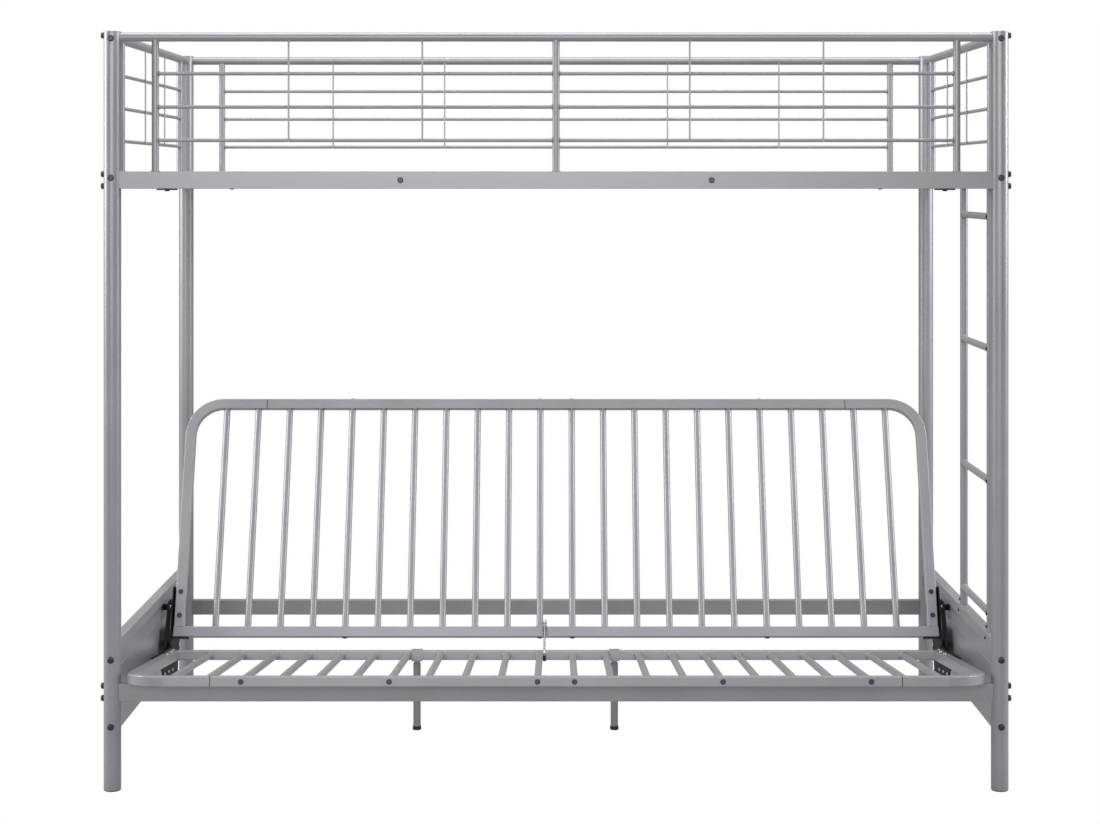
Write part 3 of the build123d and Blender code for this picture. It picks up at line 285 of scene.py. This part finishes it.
def makePlastic(name, dark, light, roughness):
    s = capPlastic
    material, tree, place = startMaterial(name)
    mottle = addNode(
        tree,
        "ShaderNodeTexNoise",
        values={"Scale": 1000 / s["mottleMm"], "Detail": 3.0},
        links={"Vector": place},
    )
    colour = addNode(
        tree,
        "ShaderNodeMix",
        {"data_type": "RGBA"},
        values={6: hexColour(dark), 7: hexColour(light)},
        links={0: mottle.outputs["Fac"]},
    )
    grain = addNode(
        tree,
        "ShaderNodeTexNoise",
        values={"Scale": 1000 / s["grainMm"], "Detail": 1.0},
        links={"Vector": place},
    )
    bump = addNode(
        tree,
        "ShaderNodeBump",
        values={"Strength": s["grainStrength"], "Distance": s["grainHeight"]},
        links={"Height": grain.outputs["Fac"]},
    )
    shader = addNode(
        tree,
        "ShaderNodeBsdfPrincipled",
        values={"Roughness": roughness, "IOR": s["ior"]},
        links={"Base Color": colour.outputs[2], "Normal": bump.outputs["Normal"]},
    )
    closeMaterial(tree, shader.outputs["BSDF"])
    return material


bolt = boltFinish
cap = capPlastic
finishes = {
    "silver_steel": makeSilverCoat(),
    "black_steel": makeBlackPaint(),
    "dark_bolts": makePlated(
        "black oxide steel", bolt["oxideDark"], bolt["oxideLight"], bolt["oxideRoughness"]
    ),
    "zinc_steel": makePlated(
        "bright zinc plate", bolt["zincDark"], bolt["zincLight"], bolt["zincRoughness"]
    ),
    "grey_plastic": makePlastic(
        "moulded grey polyethylene", cap["greyDark"], cap["grey"], cap["greyRoughness"]
    ),
    "black_plastic": makePlastic(
        "moulded black polyethylene", cap["blackDark"], cap["black"], cap["blackRoughness"]
    ),
}
for part in frame["record"]["subparts"]:
    slots = nodes[part["node"]].data.materials
    slots.clear()
    slots.append(finishes[part["material_slot"]])
print("materials assigned:", len(finishes))


# Weld beads: a low flared collar of filler stands where each slat, rod, rung and upright
# meets the tube that carries it.
weldBead = {
    "flare": 0.0022,
    "rise": 0.0026,
    "skin": 0.0002,
    "sides": 20,
}


def addBead(mesh, foot, way, tubeDia):  # foot is where the tube meets its carrier
    turn = Vector(way).to_track_quat("Z", "Y").to_matrix().to_4x4()
    r = tubeDia / 2
    centre = Vector(foot) + Vector(way) * weldBead["rise"] / 2
    bmesh.ops.create_cone(
        mesh,
        cap_ends=True,
        segments=weldBead["sides"],
        radius1=r + weldBead["flare"],
        radius2=r + weldBead["skin"],
        depth=weldBead["rise"],
        matrix=Matrix.Translation(centre) @ turn,
    )


def closeBeads(mesh, name, body):
    for face in mesh.faces:
        face.smooth = len(face.verts) == 4  # the flare, not its two ends
    data = bpy.data.meshes.new(name)
    mesh.to_mesh(data)
    mesh.free()
    piece = bpy.data.objects.new(name, data)
    bpy.context.collection.objects.link(piece)
    data.materials.append(finishes["silver_steel"])
    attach(piece, body)
    return piece


def middle(node, axis):  # middle of a CAD node along X, Y or Z
    low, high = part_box(node)
    return (low[axis] + high[axis]) / 2


frontPosts = middle("post_front_left", 1)
rearPosts = middle("post_rear_left", 1)
postSpan = middle("post_front_right", 0)

guard = {
    "foot": 1.354,
    "uprightDia": 0.016,
    "uprights": (-0.877, 0.0, 0.877),
    "endInset": 0.099,
    "rodDia": 0.008,
    "rods": (1.568, 1.495, 1.422),
}
ladder = {
    "width": 0.318,
    "uprightDia": 0.018,
    "rungDia": 0.016,
    "rungs": (1.2535, 0.9578, 0.6621, 0.3664),
}
guardBeads = bmesh.new()
for y in (frontPosts, rearPosts):
    for x in guard["uprights"]:
        addBead(guardBeads, (x, y, guard["foot"]), (0, 0, 1), guard["uprightDia"])
        for z in guard["rods"]:
            for way in (-1, 1):
                if abs(x + way * guard["uprightDia"]) < guard["uprights"][-1]:
                    foot = (x + way * guard["uprightDia"] / 2, y, z)
                    addBead(guardBeads, foot, (way, 0, 0), guard["rodDia"])
for x in (-postSpan, postSpan):
    for y, way in ((frontPosts + guard["endInset"], 1), (rearPosts - guard["endInset"], -1)):
        addBead(guardBeads, (x, y, guard["foot"]), (0, 0, 1), guard["uprightDia"])
        for z in guard["rods"]:
            foot = (x, y + way * guard["uprightDia"] / 2, z)
            addBead(guardBeads, foot, (0, way, 0), guard["rodDia"])
ladderFront = frontPosts + guard["endInset"]
for y, way in ((ladderFront, 1), (ladderFront + ladder["width"], -1)):
    for z in ladder["rungs"]:
        foot = (postSpan, y + way * ladder["uprightDia"] / 2, z)
        addBead(guardBeads, foot, (0, way, 0), ladder["rungDia"])
closeBeads(guardBeads, "frame_welds", "frame")

sofaSlats = {
    "pitch": 0.0797,
    "count": 22,
    "dia": 0.016,
}
sofaFrames = {  # origin of each tilted frame, its lean from level, and its slats' two ends
    "seat": {"y": -0.43104, "z": 0.234, "lean": -6.9, "up": 0.0113, "ends": (-0.076, 0.484)},
    "back": {"y": 0.138845, "z": 0.225098, "lean": 69.3, "up": 0.0, "ends": (0.0125, 0.5625)},
}
for body, s in sofaFrames.items():
    lean = math.radians(s["lean"])
    along = Vector((0, math.cos(lean), math.sin(lean)))
    out = Vector((0, -math.sin(lean), math.cos(lean)))
    beads = bmesh.new()
    for i in range(sofaSlats["count"]):
        x = (i - (sofaSlats["count"] - 1) / 2) * sofaSlats["pitch"]
        base = Vector((x, s["y"], s["z"])) + out * s["up"]
        addBead(beads, base + along * s["ends"][0], along, sofaSlats["dia"])
        addBead(beads, base + along * s["ends"][1], -along, sofaSlats["dia"])
    closeBeads(beads, body + "_welds", body)
print("weld beads added")


room = {
    "floorSize": 40.0,
    "floorDrop": 0.0005,
    "white": "#FFFFFF",
    "paper": "#A2A2A2",  # what the floor is to diffuse light
    "dome": 0.2,
    "glossShare": 0.35,  # how white the room is in reflections
}
camera = {
    "back": 4.755,  # from the front posts to the lens
    "height": 1.333,
    "lens": 71.1,
    "sensor": 36.0,
    "shiftX": -0.0055,
    "shiftY": -0.21,
}


def seenWhite(tree):  # 1 to the eye and through glass, less in reflections, 0 to diffuse light
    path = addNode(tree, "ShaderNodeLightPath")
    direct = addNode(
        tree,
        "ShaderNodeMath",
        {"operation": "MAXIMUM"},
        links={0: path.outputs["Is Camera Ray"], 1: path.outputs["Is Transmission Ray"]},
    )
    glossy = addNode(
        tree,
        "ShaderNodeMath",
        {"operation": "MULTIPLY"},
        values={1: room["glossShare"]},
        links={0: path.outputs["Is Glossy Ray"]},
    )
    either = addNode(
        tree,
        "ShaderNodeMath",
        {"operation": "MAXIMUM"},
        links={0: direct.outputs["Value"], 1: glossy.outputs["Value"]},
    )
    return either.outputs["Value"]


def makeBackdrop(name):  # it still takes the object's shadow
    material = bpy.data.materials.new(name)
    material.use_nodes = True
    tree = material.node_tree
    tree.nodes.clear()
    glow = addNode(
        tree,
        "ShaderNodeEmission",
        values={"Color": hexColour(room["white"]), "Strength": 1.0},
    )
    matt = addNode(
        tree,
        "ShaderNodeBsdfDiffuse",
        values={"Color": hexColour(room["paper"])},
    )
    mix = addNode(
        tree,
        "ShaderNodeMixShader",
        links={0: seenWhite(tree), 1: matt.outputs["BSDF"], 2: glow.outputs["Emission"]},
    )
    closeMaterial(tree, mix.outputs["Shader"])
    return material


floorMesh = bmesh.new()
bmesh.ops.create_grid(
    floorMesh,
    x_segments=1,
    y_segments=1,
    size=room["floorSize"] / 2,
    matrix=Matrix.Translation((0, 0, -room["floorDrop"])),
)
floorData = bpy.data.meshes.new("floor")
floorMesh.to_mesh(floorData)
floorMesh.free()
floor = bpy.data.objects.new("floor", floorData)
bpy.context.collection.objects.link(floor)
floorData.materials.append(makeBackdrop("white paper floor"))

world = bpy.data.worlds.new("studio")
bpy.context.scene.world = world
world.use_nodes = True
sky = world.node_tree
sky.nodes.clear()
strength = addNode(
    sky,
    "ShaderNodeMapRange",
    values={"To Min": room["dome"], "To Max": 1.0},
    links={"Value": seenWhite(sky)},
)
dome = addNode(
    sky,
    "ShaderNodeBackground",
    values={"Color": hexColour(room["white"])},
    links={"Strength": strength.outputs["Result"]},
)
addNode(sky, "ShaderNodeOutputWorld", links={"Surface": dome.outputs["Background"]})

lamps = {
    "left softbox": {"at": (-4.4, -0.3, 2.3), "size": (1.4, 2.6), "watts": 150},
    "right softbox": {"at": (4.4, -0.3, 2.3), "size": (1.4, 2.6), "watts": 135},
    "top softbox": {"at": (0.0, -0.4, 4.8), "size": (4.5, 2.0), "watts": 165},
    "front softbox": {"at": (-0.5, -6.4, 2.1), "size": (4.0, 1.6), "watts": 130},
}
target = Vector((0, 0, 0.75))
for name, lamp in lamps.items():
    light = bpy.data.lights.new(name, "AREA")
    light.shape = "RECTANGLE"
    light.size, light.size_y = lamp["size"]
    light.energy = lamp["watts"]
    holder = bpy.data.objects.new(name, light)
    holder.location = lamp["at"]
    holder.rotation_euler = (target - Vector(lamp["at"])).to_track_quat("-Z", "Y").to_euler()
    bpy.context.collection.objects.link(holder)

lens = bpy.data.cameras.new("camera")
lens.lens = camera["lens"]
lens.sensor_width = camera["sensor"]
lens.shift_x = camera["shiftX"]
lens.shift_y = camera["shiftY"]
eye = bpy.data.objects.new("camera", lens)
eye.location = (0, frontPosts - camera["back"], camera["height"])
eye.rotation_euler = (math.radians(90), 0, 0)
bpy.context.collection.objects.link(eye)
bpy.context.scene.camera = eye
bpy.context.scene.view_settings.view_transform = "Standard"
print("room, lamps and camera set")
